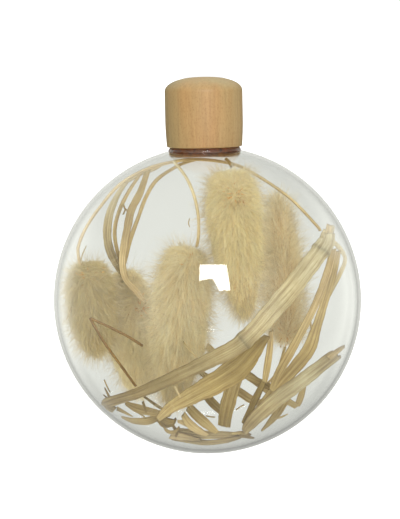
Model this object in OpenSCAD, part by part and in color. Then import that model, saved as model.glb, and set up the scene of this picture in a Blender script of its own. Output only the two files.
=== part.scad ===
// Glass ball ornament: a clear blown ball with a turned wooden cap on a cork plug,
// filled with dried bunny-tail grass, straws and split leaves.
// Millimetres, +Z up, origin at the lowest point of the ball, axis of the neck on Z.

/* [Glass ball] */

// Outside diameter of the ball
ball_d = 80; // [70:1:120]
// Thickness of the glass wall
wall = 1.0; // [0.8:0.1:1.4]

/* [Neck] */

// Diameter of the hole in the neck
bore_d = 15.2; // [14:0.1:16]
// Diameter over the rolled lip
lip_d = 18.9; // [18.4:0.1:20]
// Radius of the roll of glass round the mouth
lip_roll = 0.8; // [0.6:0.05:0.9]
// Radius of the bead where the glass is rolled inwards round the bore
neck_bead = 0.85; // [0.6:0.05:0.9]
// Height of the mouth over the centre of an 80 mm ball
lip_top = 39.8; // [39.4:0.05:39.9]

/* [Wooden cap] */

// Largest diameter of the cap
cap_d = 20.2; // [20:0.1:24]
// Diameter of the cap at its foot
cap_foot_d = 19.6; // [19.2:0.1:20]
// Height of the cap
cap_h = 18.1; // [16:0.1:24]
// Height of the tapered foot of the cap
cap_foot_h = 7.2; // [4:0.1:8]
// Height of the rounded top of the cap
cap_crown_h = 3.6; // [2.5:0.1:4]
// Diameter of the flat in the middle of the top
cap_flat_d = 5; // [4:0.5:6]
// Gap between the foot of the cap and the mouth of the ball
cap_gap = 0.1; // [0.05:0.05:0.2]

/* [Cork plug] */

// Running gap between the plug and the neck, on the radius
plug_gap = 0.05; // [0.02:0.01:0.1]
// Length of the plug that hangs below the cap
plug_below = 2.8; // [2:0.1:3]
// Length of the plug that is glued into the cap
plug_socket = 6; // [4:0.5:10]

/* [Dried grass] */

// Thickness of a split leaf
leaf_t = 0.7; // [0.5:0.1:1]
// Thickness of a pressed straw
straw_t = 2.6; // [2:0.1:3]
// Diameter of a thin stem
stem_d = 0.8; // [0.6:0.1:1]

/* [Hidden] */

ball_r = ball_d / 2;
bore_r = bore_d / 2;
roll_r = lip_d / 2 - lip_roll;
// the routes and sizes of the filling are those of an 80 mm ball
fill = ball_d / 80;
mouth_z = ball_r + ball_r - 40 + lip_top;
cap_z = mouth_z + cap_gap;
plug_r = bore_r - plug_gap;
chamfer = 0.4;
$fn = 96;

wood = [0.82, 0.67, 0.47];
cork = [0.42, 0.31, 0.17];
fluff = [0.80, 0.73, 0.52];
straw = [0.76, 0.68, 0.46];
leaf = [0.70, 0.60, 0.36];
stem = [0.66, 0.52, 0.28];

// ---- shapes shared by the filling ----

function unit(v) = v / norm(v);
function place(p) = [p[0], p[1], p[2]] * fill + [0, 0, ball_r];

// point u of a smooth curve through a route, where u counts the route's points
function on_route(route, u) =
    let (
        last = len(route) - 1,
        i = min(floor(u), last - 1),
        t = u - i,
        a = route[max(i - 1, 0)],
        b = route[i],
        c = route[i + 1],
        d = route[min(i + 2, last)]
    )
    (2 * b + (c - a) * t + (2 * a - 5 * b + 4 * c - d) * t * t
        + (3 * b - a - 3 * c + d) * t * t * t) / 2;

// a flat strip, straw or stem along a route of [x, y, z, width] from the ball's centre,
// its broad side turned towards face
module strip(route, thick, face = [0, -1, 0], sides = 8, steps = 2) {
    rings = steps * (len(route) - 1);
    line = [for (i = [0:rings]) on_route(route, i / steps)];
    points = [
        for (i = [0:rings])
            let (
                along = unit(place(line[min(i + 1, rings)]) - place(line[max(i - 1, 0)])),
                side = unit(cross(along, face)),
                out = cross(side, along),
                half_w = line[i][3] * fill / 2,
                half_t = min(thick * fill / 2, half_w)
            )
            for (k = [0:sides - 1])
                place(line[i]) + side * half_w * cos(360 * k / sides)
                    + out * half_t * sin(360 * k / sides)
    ];
    first_cap = [[for (k = [sides - 1:-1:0]) k]];
    last_cap = [[for (k = [0:sides - 1]) rings * sides + k]];
    walls = [
        for (i = [0:rings - 1], k = [0:sides - 1])
            let (
                a = i * sides + k,
                b = i * sides + (k + 1) % sides
            )
            each [[a, b, b + sides], [a, b + sides, a + sides]]
    ];
    polyhedron(points, concat(first_cap, last_cap, walls));
}

// a stem of constant diameter along a route of [x, y, z]
module thin_stem(route) {
    strip([for (p = route) [p[0], p[1], p[2], stem_d]], stem_d, sides = 6);
}

// a bunny-tail head: a long egg from its stem end to its tip
module head(stem_end, tip, r) {
    way = (tip - stem_end) * fill;
    length = norm(way);
    rings = 12;
    translate(place(stem_end))
        rotate([0, acos(way[2] / length), atan2(way[1], way[0])])
            rotate_extrude()
                polygon([
                    for (i = [0:rings])
                        let (a = 180 * i / rings)
                        [
                            i % rings == 0 ? 0 : r * fill * pow(sin(a), 0.7),
                            length / 2 * (1 - cos(a))
                        ]
                ]);
}

// ---- ball and stopper ----

module glass_ball() {
    color([0.86, 0.90, 0.86, 0.35])
    translate([0, 0, ball_r])
    difference() {
        union() {
            difference() {
                union() {
                    sphere(r = ball_r);
                    translate([0, 0, mouth_z - ball_r - 2])
                        cylinder(r = roll_r, h = 2);
                    translate([0, 0, mouth_z - ball_r - lip_roll])
                        rotate_extrude()
                            translate([roll_r, 0])
                                circle(r = lip_roll, $fn = 32);
                }
                sphere(r = ball_r - wall);
            }
            // the glass is rolled inwards round the bore, level with the plug's end
            translate([0, 0, mouth_z - ball_r - plug_below + 0.05]) {
                cylinder(r = bore_r + neck_bead, h = plug_below - 0.7);
                translate([0, 0, neck_bead])
                    rotate_extrude()
                        translate([bore_r + neck_bead, 0])
                            circle(r = neck_bead, $fn = 32);
            }
        }
        cylinder(r = bore_r, h = ball_r + 5);
    }
}

module wood_cap() {
    cap_r = cap_d / 2;
    crown_steps = 14;
    // the crown is a superellipse, cut off at the flat
    flat_a = asin(pow(cap_flat_d / cap_d, 1.25));
    color(wood)
    translate([0, 0, cap_z])
    difference() {
        rotate_extrude()
            polygon(concat(
                [
                    [0, 0],
                    [cap_foot_d / 2 - chamfer, 0],
                    [cap_foot_d / 2, chamfer],
                    [cap_r, cap_foot_h]
                ],
                [
                    for (i = [0:crown_steps])
                        let (a = 90 + (flat_a - 90) * i / crown_steps)
                        [
                            cap_r * pow(sin(a), 0.8),
                            cap_h - cap_crown_h + cap_crown_h * cos(a) / cos(flat_a)
                        ]
                ],
                [[0, cap_h]]
            ));
        translate([0, 0, -1])
            cylinder(r = plug_r, h = plug_socket + 1);
    }
}

module cork_plug() {
    color(cork)
    translate([0, 0, cap_z - plug_below])
    rotate_extrude()
        polygon([
            [0, 0],
            [plug_r - chamfer, 0],
            [plug_r, chamfer],
            [plug_r, plug_below + plug_socket],
            [0, plug_below + plug_socket]
        ]);
}

// ---- bunny tails ----

module tail_right_front() { color(fluff) head([7, -10.5, 34], [10.5, -15, -4], 7.4); }
module tail_right_back() { color(fluff) head([20.3, 7.5, -13], [19.5, 9.5, 28], 5.8); }
module tail_middle() { color(fluff) head([-5, -12, 14], [-10, -10.5, -24.5], 7); }
module tail_left_front() { color(fluff) head([-30.6, -4, 10.4], [-29.5, -4, -13.5], 6); }
module tail_left_back() { color(fluff) head([-22.2, 7.8, 7.6], [-18.4, 7.8, -25], 6.3); }

module stem_right_front() {
    color(stem) thin_stem([[6.7, -9.6, 34.8], [6.2, -8, 35.8], [5.4, -6.4, 36.6]]);
}

module stem_right_back() {
    color(stem) thin_stem([[20.2, 7.3, -13.5], [19, 6, -17], [17.5, 5, -20.5], [15, 4, -23]]);
}

module stem_middle() {
    color(stem) thin_stem([
        [-2.5, -12.5, 14.8], [-2, -14, 18], [-2, -14, 23], [-3, -12, 28],
        [-5, -9, 32.5], [-8, -6, 36.3]
    ]);
}

// one long stem sprung round the inside of the ball
module stem_left_front() {
    color(stem) thin_stem([
        [-33, -5, 12], [-33, -4, 15], [-31, -4, 19.5], [-27.5, -4, 24.5], [-22, -4, 30.5],
        [-15, -4, 34.3], [-7, -4, 36.3], [0, -3.5, 36.5], [8, -2.5, 35], [14.5, -2, 31.5],
        [22, -2, 26], [28.4, -1.5, 19.2], [29.4, -1.5, 17.8]
    ]);
}

module stem_kinked() {
    color(stem) {
        thin_stem([[-16.8, -16.5, -10], [-20.5, -17, -7.5], [-25.5, -17, -4.8], [-30, -16, -2.7]]);
        thin_stem([[-30, -16, -2.7], [-27, -17.5, -8], [-23, -17, -14], [-18.8, -14.5, -20.5]]);
    }
}

// ---- straws ----

module straw_long() {
    color(straw) strip([
        [31.7, -6, 17.2, 3.2], [30, -9, 14, 4.8], [24.5, -18, 8, 4.8], [17.5, -25, 0.5, 5],
        [10.5, -28, -6.5, 4.5], [6, -28.5, -10, 4.2], [-1, -27, -13.5, 3.9],
        [-10, -23, -18, 3.4], [-17.5, -18.5, -21.5, 2.9], [-23.5, -12.5, -24, 2.7],
        [-26.6, -7.5, -25.2, 2.7]
    ], straw_t);
}

module straw_slim() {
    color(straw) strip([
        [16, -14.5, -7, 1.7], [15, -14.5, -12, 2.1], [13, -12.5, -19.5, 2.3],
        [10.5, -10, -26, 2.2], [7.5, -9.5, -31.3, 1.7]
    ], 1.4);
}

module straw_lower_right() {
    color(straw) strip([
        [34, -7.5, -13, 2.1], [30, -11, -15.5, 3.4], [23.5, -14.5, -20, 3.7],
        [17, -15.5, -24.5, 4], [11.5, -13.5, -29.5, 3.5], [8.8, -11, -33, 2.2]
    ], 1.4);
}

module straw_bottom() {
    color(straw) strip([
        [-10, -3, -35.3, 3.6], [-6.5, -4, -35.6, 4.4], [-1.5, -4.5, -35.8, 4.5],
        [4, -4, -35.5, 4.2], [9, -3, -35, 2.6]
    ], straw_t);
}

module stalk_short() {
    color(leaf) strip([
        [7.5, -11, -17, 3.4], [5.5, -9, -23.5, 3.9], [4.2, -7, -28.5, 3.7], [3.7, -5.5, -32.3, 3]
    ], 1.6);
}

// ---- split leaves ----

module leaf_broad() {
    color(straw) strip([
        [15, -19.5, -7.8, 2.1], [11, -20.5, -12, 5.2], [7.5, -21, -15.5, 6.6],
        [1.5, -20, -19.5, 5.6], [-5, -18, -23, 4.6], [-10, -15.5, -26, 3.6],
        [-13, -12.5, -29, 2]
    ], leaf_t);
}

module leaf_curved() {
    color(leaf) strip([
        [33, -3, 12.8, 2.2], [31.5, -5, 6.5, 3.4], [28.5, -7, -1.5, 3.1], [25.5, -8, -7.5, 3.5],
        [23, -8.5, -13, 4.4], [19.5, -8.5, -18.5, 3.6], [14.5, -7, -25, 3.5],
        [10.5, -5.5, -31, 3], [8.5, -4.5, -33.2, 1.8]
    ], leaf_t);
}

module leaf_inner() {
    color(leaf) strip([
        [29.5, -3.5, -3, 2.2], [27, -4.5, -9.5, 2.6], [25.5, -4.5, -15.5, 3], [22.5, -4, -20.5, 2]
    ], leaf_t);
}

module leaf_outer() {
    color(leaf) strip([
        [32.5, -1.5, 15, 1], [34.5, -1.5, 13, 1.2], [36, -1, 10, 1], [34.5, -0.5, 6, 1.2],
        [32, 0, 1.5, 1.3], [29.5, 1, -3.5, 1], [26.5, 1, -10, 1], [24.5, 1, -16, 0.8]
    ], leaf_t);
}

module leaf_tip() {
    color(leaf) strip([
        [22, -2, -23.5, 1.3], [19.5, -1, -27, 2.3], [17, 0, -31, 2.1], [13.5, 1, -35, 0.8]
    ], leaf_t);
}

module leaf_kinked() {
    color(leaf) {
        strip([
            [-0.5, -5.5, -11.5, 1.6], [4, -5, -15.5, 2.1], [10.5, -2, -20, 2.2],
            [16.5, 1.5, -25, 2], [20.5, 4, -27.5, 1.8], [23.2, 5, -29.3, 1.6]
        ], leaf_t);
        strip([[23.2, 5, -29.3, 1.6], [24.2, 5.3, -26.5, 1.8], [25.2, 6, -23, 1.3]], leaf_t);
    }
}

module leaf_crossing() {
    color(leaf) strip([
        [-2.5, -6, -18, 1.3], [1.5, -4.5, -21, 2.1], [7.5, -1, -24, 2.3], [11, 1, -26.5, 2.2],
        [14.5, 2, -27.8, 1.5]
    ], leaf_t);
}

module leaf_lower_left() {
    color(leaf) strip([
        [-23, -3, -30, 0.8], [-20, -4, -30.6, 1.6], [-16.5, -5, -30.4, 2.3],
        [-13, -5.5, -29.6, 1.8], [-10, -5.5, -29, 1]
    ], leaf_t);
}

module leaf_left_end() {
    color(leaf) strip([
        [-21.5, -8, -25.3, 1], [-17, -9, -26.5, 2.2], [-13.5, -9, -27.5, 2], [-9.5, -9, -28, 1.2]
    ], leaf_t);
}

module leaf_lower_middle() {
    color(leaf) strip([
        [-6.5, -9.5, -26.5, 2], [-4, -9, -29, 3], [-0.5, -9, -31.5, 2.8], [1.5, -8.5, -33, 1.3]
    ], leaf_t);
}

module leaf_small() {
    color(leaf) strip([[-1, -3, -24.5, 2], [1, -2, -27, 2.3], [4, -1, -30, 2]], leaf_t);
}

module leaf_upper_wide() {
    color(straw) strip([
        [-14.5, -1, 34, 1.6], [-16.5, -3, 28.5, 1.9], [-19, -4, 24, 2], [-20, -5, 19.5, 2],
        [-21, -5, 14.5, 2], [-21.5, -4.5, 10, 1.8], [-21, -4, 6, 1.6], [-18.5, -3, 3, 1.8],
        [-16, -2.5, -0.5, 0.8]
    ], leaf_t);
}

module leaf_upper_dark() {
    color(leaf) strip([
        [-20.5, 3, 31.3, 1.6], [-23, 3, 27.5, 1.6], [-25, 2, 23, 2.1], [-26, 2, 18, 2.3],
        [-25, 1, 13.5, 2.2], [-23, 0.5, 9, 1.6], [-21, 1, 5, 0.8]
    ], leaf_t);
}

module leaf_upper_thin() {
    color(straw) strip([
        [-16.5, 2, 33.5, 0.8], [-20, 1, 28.5, 1], [-22.5, -1, 23.5, 1], [-23.5, -2, 18.5, 1],
        [-23, -2, 13.5, 1], [-22, -2, 9.5, 0.8]
    ], leaf_t);
}

module leaf_upper_arched() {
    color(straw) strip([
        [-2.8, 4, 36.4, 0.8], [-7, 3, 35, 0.8], [-12.5, 2, 31.5, 1], [-15.5, 0, 27, 1],
        [-17.5, -2, 22, 1], [-19.5, -3.2, 16.5, 1.2], [-20.5, -3.3, 10.5, 0.8]
    ], leaf_t);
}

module sliver_left() {
    color(leaf) strip([[-17, -4, -24.5, 0.7], [-14, -5, -26, 0.9], [-11.5, -6, -28, 0.8]], leaf_t);
}

// three loose ends too fine to name
module fibres() {
    color(stem) {
        thin_stem([[-27, -8, -19.5], [-26.3, -7, -21.5], [-25.7, -5.5, -23]]);
        thin_stem([[-1, -6, -29.6], [0.2, -6, -29.9], [1.4, -6, -30]]);
        thin_stem([[6.8, -4, -28.5], [8, -4, -27.7], [9, -4, -27.2]]);
    }
}

// ---- the ornament ----

glass_ball();
wood_cap();
cork_plug();
tail_right_front();
tail_right_back();
tail_middle();
tail_left_front();
tail_left_back();
stem_right_front();
stem_right_back();
stem_middle();
stem_left_front();
stem_kinked();
straw_long();
straw_slim();
straw_lower_right();
straw_bottom();
stalk_short();
leaf_broad();
leaf_curved();
leaf_inner();
leaf_outer();
leaf_tip();
leaf_kinked();
leaf_crossing();
leaf_lower_left();
leaf_left_end();
leaf_lower_middle();
leaf_small();
leaf_upper_wide();
leaf_upper_dark();
leaf_upper_thin();
leaf_upper_arched();
sliver_left();
fibres();
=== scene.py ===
"""Glass ball ornament: the looks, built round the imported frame. Metres, +Z up."""

import math

import bmesh
import bpy
import numpy as np
from mathutils import Matrix, Vector


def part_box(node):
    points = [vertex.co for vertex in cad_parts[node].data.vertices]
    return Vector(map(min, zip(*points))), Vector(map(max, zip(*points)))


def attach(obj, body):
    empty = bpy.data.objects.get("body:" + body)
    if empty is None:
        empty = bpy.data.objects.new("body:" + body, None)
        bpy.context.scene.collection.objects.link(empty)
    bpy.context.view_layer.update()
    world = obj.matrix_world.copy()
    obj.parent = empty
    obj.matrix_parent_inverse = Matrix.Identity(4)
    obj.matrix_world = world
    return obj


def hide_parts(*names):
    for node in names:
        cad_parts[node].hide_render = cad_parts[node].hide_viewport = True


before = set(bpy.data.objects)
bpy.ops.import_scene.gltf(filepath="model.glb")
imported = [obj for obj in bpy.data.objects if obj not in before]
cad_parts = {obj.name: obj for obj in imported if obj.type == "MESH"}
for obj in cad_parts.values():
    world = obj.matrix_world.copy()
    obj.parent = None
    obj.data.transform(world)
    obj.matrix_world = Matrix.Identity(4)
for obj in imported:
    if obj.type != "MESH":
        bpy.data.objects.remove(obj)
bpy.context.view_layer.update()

MM = 0.001

# ---- sizes, worked out from the frame ----

ball_lo, ball_hi = (Vector(c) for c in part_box("glass_ball"))
cap_lo, cap_hi = (Vector(c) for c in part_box("wood_cap"))
plug_lo, plug_hi = (Vector(c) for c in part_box("cork_plug"))
BALL_R = (ball_hi.x - ball_lo.x) / 2
CENTRE = np.array([0.0, 0.0, ball_lo.z + BALL_R])
MOUTH_Z = ball_hi.z
WALL = 1.0 * MM
LIP_ROLL = 0.8 * MM
MOUTH_EDGE = 0.3 * MM
LIP_R = 9.45 * MM
BORE_R = 7.6 * MM
NECK_BEAD = 0.85 * MM
PLUG_R = (plug_hi.x - plug_lo.x) / 2
CAP_R = (cap_hi.x - cap_lo.x) / 2
CAP_H = cap_hi.z - cap_lo.z


# ---- camera, floor and light ----

CAMERA_DISTANCE = 1.0
CAMERA_ELEVATION = math.radians(4.4)
CAMERA_ROLL = math.radians(1.1)
# the ball's radius as a share of the frame's height, and how far its centre lies
# right of and below the middle of the frame, in millimetres at the ball
BALL_SHARE = 0.296
AIM_LEFT, AIM_UP = 1.95 * MM, 10.5 * MM
# how bright the backdrop is, what the glass shows, and the light from each side
BACKDROP = 1.05
PANEL_LIGHT = (0.66, 0.87)
CORNER_LIGHT = 0.5
# where the panels and the darker corners begin, as a share of the way to the side
PANEL_EDGE, CORNER_EDGE = (0.90, 0.99), (0.88, 0.78)
SIDE_LIGHT, FRONT_LIGHT, TOP_LIGHT = 0.17, 0.72, 1.15
SOFTBOX_LIGHT = 14.5
FLOOR_DROP = 80 * MM
FLOOR_HALF = 6


def placed(name, data):
    """A new object in the scene."""
    made = bpy.data.objects.new(name, data)
    bpy.context.collection.objects.link(made)
    return made


def make_camera():
    data = bpy.data.cameras.new("camera")
    cam = placed("camera", data)
    back = Vector((0, -math.cos(CAMERA_ELEVATION), math.sin(CAMERA_ELEVATION)))
    right = Vector((1, 0, 0))
    up = back.cross(right)
    roll_right = right * math.cos(CAMERA_ROLL) - up * math.sin(CAMERA_ROLL)
    roll_up = right * math.sin(CAMERA_ROLL) + up * math.cos(CAMERA_ROLL)
    aim = Vector(CENTRE) - roll_right * AIM_LEFT + roll_up * AIM_UP
    spot = aim + back * CAMERA_DISTANCE
    cam.matrix_world = Matrix((
        (roll_right.x, roll_up.x, back.x, spot.x),
        (roll_right.y, roll_up.y, back.y, spot.y),
        (roll_right.z, roll_up.z, back.z, spot.z),
        (0, 0, 0, 1),
    ))
    half_height = BALL_R / BALL_SHARE / 2
    data.sensor_width = 36
    data.lens = data.sensor_width / 2 * CAMERA_DISTANCE / half_height
    data.clip_start, data.clip_end = 0.05, 50
    bpy.context.scene.camera = cam


def nodes_of(name):
    mat = bpy.data.materials.new(name)
    mat.use_nodes = True
    mat.node_tree.nodes.clear()
    return mat, mat.node_tree.nodes


def node(tree_nodes, kind, **values):
    """A shader node with its properties and the constants on its sockets."""
    made = tree_nodes.new("ShaderNode" + kind)
    for key, value in values.items():
        if key in made.inputs:
            made.inputs[key].default_value = value
        else:
            setattr(made, key, value)
    return made


def link(source, target):
    """Joins two sockets of one node tree."""
    source.id_data.links.new(source, target)


def output(nodes, shader):
    """Joins a shader to the material's output."""
    link(shader, node(nodes, "OutputMaterial").inputs[0])


def srgb(r, g, b):
    """A colour given as it looks on screen, 0 to 255."""
    def channel(c):
        c = c / 255
        return c / 12.92 if c <= 0.04045 else ((c + 0.055) / 1.055) ** 2.4
    return (channel(r), channel(g), channel(b), 1)


def make_floor():
    floor_z = ball_lo.z - FLOOR_DROP
    corners = [(-1, -1), (1, -1), (1, 1), (-1, 1)]
    mesh = bpy.data.meshes.new("floor")
    mesh.from_pydata([(x * FLOOR_HALF, y * FLOOR_HALF, floor_z) for x, y in corners], [], [(0, 1, 2, 3)])
    floor = placed("floor", mesh)
    mat, nodes = nodes_of("floor")
    paint = node(nodes, "BsdfPrincipled", **{
        "Base Color": (0.85, 0.85, 0.85, 1), "Roughness": 0.9, "Emission Color": (1, 1, 1, 1),
        "Emission Strength": 0.72})
    output(nodes, paint.outputs[0])
    mesh.materials.append(mat)
    # the glass shows the studio's walls, not the edge of the floor
    floor.visible_transmission = False
    floor.visible_glossy = False


def math_node(nodes, operation, *values):
    made = node(nodes, "Math", operation=operation)
    for slot, value in zip(made.inputs, values):
        if isinstance(value, (int, float)):
            slot.default_value = value
        else:
            link(value, slot)
    return made.outputs[0]


def ramp_node(nodes, value, low, high, at_low, at_high):
    """The value turned from the range low to high into the range at_low to at_high."""
    made = node(nodes, "MapRange", **{
        "From Min": low, "From Max": high, "To Min": at_low, "To Max": at_high})
    link(value, made.inputs["Value"])
    return made.outputs[0]


def make_world():
    """White behind the object. What the glass bends shows panels on four sides, darker beside them,
    and everything else is lit from the front and from above."""
    world = bpy.data.worlds.new("studio")
    bpy.context.scene.world = world
    world.use_nodes = True
    nodes = world.node_tree.nodes
    nodes.clear()
    coord = node(nodes, "TexCoord")
    split = node(nodes, "SeparateXYZ")
    link(coord.outputs["Generated"], split.inputs[0])
    x, y, z = split.outputs

    def calc(operation, *values):
        return math_node(nodes, operation, *values)

    def ramp(value, low, high, at_low, at_high):
        return ramp_node(nodes, value, low, high, at_low, at_high)

    across = calc("MAXIMUM", calc("ABSOLUTE", x), calc("ABSOLUTE", y))
    panel = ramp(across, *PANEL_EDGE, *PANEL_LIGHT)
    level = ramp(calc("ABSOLUTE", z), 0.5, 0.3, 0, 1)
    corner = calc("MULTIPLY", ramp(across, *CORNER_EDGE, 0, CORNER_LIGHT), level)
    height = ramp(z, -0.45, -0.12, 0.62, 1.0)
    lean = ramp(x, -0.35, 0.35, 1.06, 0.93)
    seen = calc("MULTIPLY", calc("MULTIPLY", calc("ADD", panel, corner), height), lean)
    lit = calc("ADD", ramp(y, -0.3, -0.95, SIDE_LIGHT, FRONT_LIGHT), ramp(z, 0.1, 0.9, 0, TOP_LIGHT))

    path = node(nodes, "LightPath")
    out = node(nodes, "OutputWorld")
    shown = [
        (None, lit, (1, 1, 1, 1)),
        ("Is Singular Ray", seen, (0.99, 1.0, 0.93, 1)),
        ("Is Camera Ray", BACKDROP, (1, 1, 1, 1)),
    ]
    below = None
    for ray, strength, colour in shown:
        wall = node(nodes, "Background", Color=colour)
        if isinstance(strength, float):
            wall.inputs["Strength"].default_value = strength
        else:
            link(strength, wall.inputs["Strength"])
        if ray is None:
            below = wall.outputs[0]
            continue
        mix = node(nodes, "MixShader")
        link(path.outputs[ray], mix.inputs[0])
        link(below, mix.inputs[1])
        link(wall.outputs[0], mix.inputs[2])
        below = mix.outputs[0]
    link(below, out.inputs[0])


def make_softbox():
    """The soft box, above and to the right of the camera, with one corner masked off."""
    mesh = bpy.data.meshes.new("softbox")
    corners = [(-0.10, 0.49), (0.27, 0.49), (0.29, 0.12), (0.15, 0.12), (0.07, 0.28), (-0.10, 0.25)]
    mesh.from_pydata([(x, 0, z) for x, z in corners], [], [tuple(range(len(corners)))])
    box = placed("softbox", mesh)
    box.location = Vector(CENTRE) + Vector((0, -0.95, 0.075))
    box.visible_camera = False
    mat, nodes = nodes_of("softbox")
    glow = node(nodes, "Emission", Strength=SOFTBOX_LIGHT)
    output(nodes, glow.outputs[0])
    mesh.materials.append(mat)


def make_stage():
    make_floor()
    make_world()
    make_softbox()
    scene = bpy.context.scene
    scene.view_settings.view_transform = "Standard"
    # light reaches the filling straight through the glass, so bent light would count twice
    scene.cycles.caustics_reflective = False
    scene.cycles.caustics_refractive = False


# ---- mesh helpers ----


def mesh_piece(name, points, quads, tris=None, values=None, mat=None):
    """An object from arrays of points, four-sided and three-sided faces."""
    mesh = bpy.data.meshes.new(name)
    quads = np.asarray(quads, dtype=np.int32).reshape(-1, 4)
    tris = np.asarray(tris if tris is not None else [], dtype=np.int32).reshape(-1, 3)
    mesh.vertices.add(len(points))
    mesh.vertices.foreach_set("co", np.asarray(points, dtype=np.float32).ravel())
    mesh.loops.add(quads.size + tris.size)
    mesh.loops.foreach_set("vertex_index", np.concatenate([quads.ravel(), tris.ravel()]))
    mesh.polygons.add(len(quads) + len(tris))
    starts = np.concatenate([
        np.arange(len(quads)) * 4,
        quads.size + np.arange(len(tris)) * 3,
    ]).astype(np.int32)
    mesh.polygons.foreach_set("loop_start", starts)
    mesh.update(calc_edges=True)
    mesh.validate()
    mesh.polygons.foreach_set("use_smooth", np.ones(len(mesh.polygons), dtype=bool))
    for key, data in (values or {}).items():
        data = np.asarray(data, dtype=np.float32)
        if data.ndim == 1:
            mesh.attributes.new(key, "FLOAT", "POINT").data.foreach_set("value", data)
        else:
            mesh.attributes.new(key, "FLOAT_VECTOR", "POINT").data.foreach_set("vector", data.ravel())
    if mat:
        mesh.materials.append(mat)
    return placed(name, mesh)


def unit(v):
    return v / np.maximum(np.linalg.norm(v, axis=-1, keepdims=True), 1e-12)


def ring_faces(rings, sides):
    """The four-sided faces between one closed ring of points and the next."""
    first = np.arange(rings - 1)[:, None] * sides
    k = np.arange(sides)
    after = (k + 1) % sides
    quads = [first + k, first + after, first + sides + after, first + sides + k]
    return np.stack(quads, axis=-1).reshape(-1, 4)


def lathe(profile, sides):
    """Points and faces of a closed outline of (radius, height) turned about Z."""
    profile = np.asarray(profile)
    turn = np.arange(sides) * 2 * math.pi / sides
    points = np.empty((len(profile), sides, 3))
    points[..., 0] = profile[:, 0, None] * np.cos(turn)
    points[..., 1] = profile[:, 0, None] * np.sin(turn)
    points[..., 2] = profile[:, 1, None]
    return points.reshape(-1, 3), ring_faces(len(profile), sides)


def arc(cx, cz, r, start, end, steps):
    """Points of (radius, height) on a circle from one angle to another, in degrees."""
    a = np.radians(np.linspace(start, end, steps))
    return [(cx + r * math.cos(t), cz + r * math.sin(t)) for t in a]


# ---- glass ball ----


def glass_material():
    mat, nodes = nodes_of("clear_glass")
    glass = node(nodes, "BsdfPrincipled", **{
        "Base Color": (0.97, 0.975, 0.972, 1), "Roughness": 0.0, "IOR": 1.5, "Transmission Weight": 1.0})
    clear = node(nodes, "BsdfTransparent", Color=(0.96, 0.965, 0.95, 1))
    path = node(nodes, "LightPath")
    # light goes straight through to the filling, from lamps and from the studio's walls
    soft = node(nodes, "MixShader")
    link(path.outputs["Is Diffuse Ray"], soft.inputs[0])
    link(glass.outputs[0], soft.inputs[1])
    link(clear.outputs[0], soft.inputs[2])
    mix = node(nodes, "MixShader")
    link(path.outputs["Is Shadow Ray"], mix.inputs[0])
    link(soft.outputs[0], mix.inputs[1])
    link(clear.outputs[0], mix.inputs[2])
    output(nodes, mix.outputs[0])
    return mat


def make_ball():
    lip_centre = LIP_R - LIP_ROLL
    roll_z = MOUTH_Z - LIP_ROLL
    cz = CENTRE[2]
    # where the ball's outside meets the roll of the lip, and its inside the bore
    outer_end = math.degrees(math.acos((LIP_R - 0.01 * MM) / BALL_R))
    inner_end = math.degrees(math.acos((BORE_R + 1.96 * NECK_BEAD) / (BALL_R - WALL)))
    outer = arc(0, cz, BALL_R, -90, outer_end, 150)
    lip = arc(lip_centre, roll_z, LIP_ROLL, -9.5, 90, 14)
    mouth = arc(BORE_R + MOUTH_EDGE, MOUTH_Z - MOUTH_EDGE, MOUTH_EDGE, 90, 180, 6)
    # the wall is rolled inwards round the bore, level with the foot of the plug
    edge = 0.15 * MM
    foot_z = plug_lo.z + 0.05 * MM
    bead = (
        arc(BORE_R + edge, foot_z + edge, edge, 180, 270, 5)
        + arc(BORE_R + NECK_BEAD, foot_z + NECK_BEAD, NECK_BEAD, 270, 344, 10)
    )
    inner = arc(0, cz, BALL_R - WALL, inner_end, -90, 150)
    profile = outer + lip + mouth + bead + inner
    points, quads = lathe(profile, 192)
    ball = mesh_piece("ball", points, quads, mat=glass_material())
    tidy_mesh(ball)
    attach(ball, "ball")
    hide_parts("glass_ball")


SHARP = math.radians(40)


def tidy_mesh(made):
    """Welds the poles of a lathed mesh and drops the faces that closed up."""
    bm = bmesh.new()
    bm.from_mesh(made.data)
    bmesh.ops.remove_doubles(bm, verts=bm.verts, dist=1e-6)
    bmesh.ops.dissolve_degenerate(bm, edges=bm.edges, dist=1e-7)
    bmesh.ops.recalc_face_normals(bm, faces=bm.faces)
    for face in bm.faces:
        face.smooth = True
    for edge in bm.edges:
        edge.smooth = edge.calc_face_angle(0) < SHARP
    bm.to_mesh(made.data)
    bm.free()


# ---- stopper ----


def noise_ramp(nodes, where, scale, detail, low, high, dark, light):
    """A noise turned into two colours; where is the socket of its coordinates."""
    noise = node(nodes, "TexNoise", **{"Scale": scale, "Detail": detail, "Roughness": 0.6})
    link(where, noise.inputs["Vector"])
    ramp = node(nodes, "ValToRGB")
    first, last = ramp.color_ramp.elements
    first.position, last.position = low, high
    first.color, last.color = dark, light
    link(noise.outputs[0], ramp.inputs[0])
    return ramp.outputs[0], noise.outputs[0]


def stops(nodes, value, colours):
    """A value from 0 to 1 turned into a run of colours, given as (position, colour)."""
    ramp = node(nodes, "ValToRGB")
    elements = ramp.color_ramp.elements
    while len(elements) < len(colours):
        elements.new(0.5)
    for element, (position, colour) in zip(elements, colours):
        element.position, element.color = position, colour
    link(value, ramp.inputs[0])
    return ramp.outputs[0]


def multiply(nodes, colour, *others):
    for other in others:
        mix = node(nodes, "Mix", data_type="RGBA", blend_type="MULTIPLY")
        mix.inputs[0].default_value = 1.0
        link(colour, mix.inputs[6])
        link(other, mix.inputs[7])
        colour = mix.outputs[2]
    return colour


def bump_of(nodes, height, strength, distance):
    bump = node(nodes, "Bump", Strength=strength, Distance=distance)
    link(height, bump.inputs["Height"])
    return bump.outputs[0]


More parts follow.
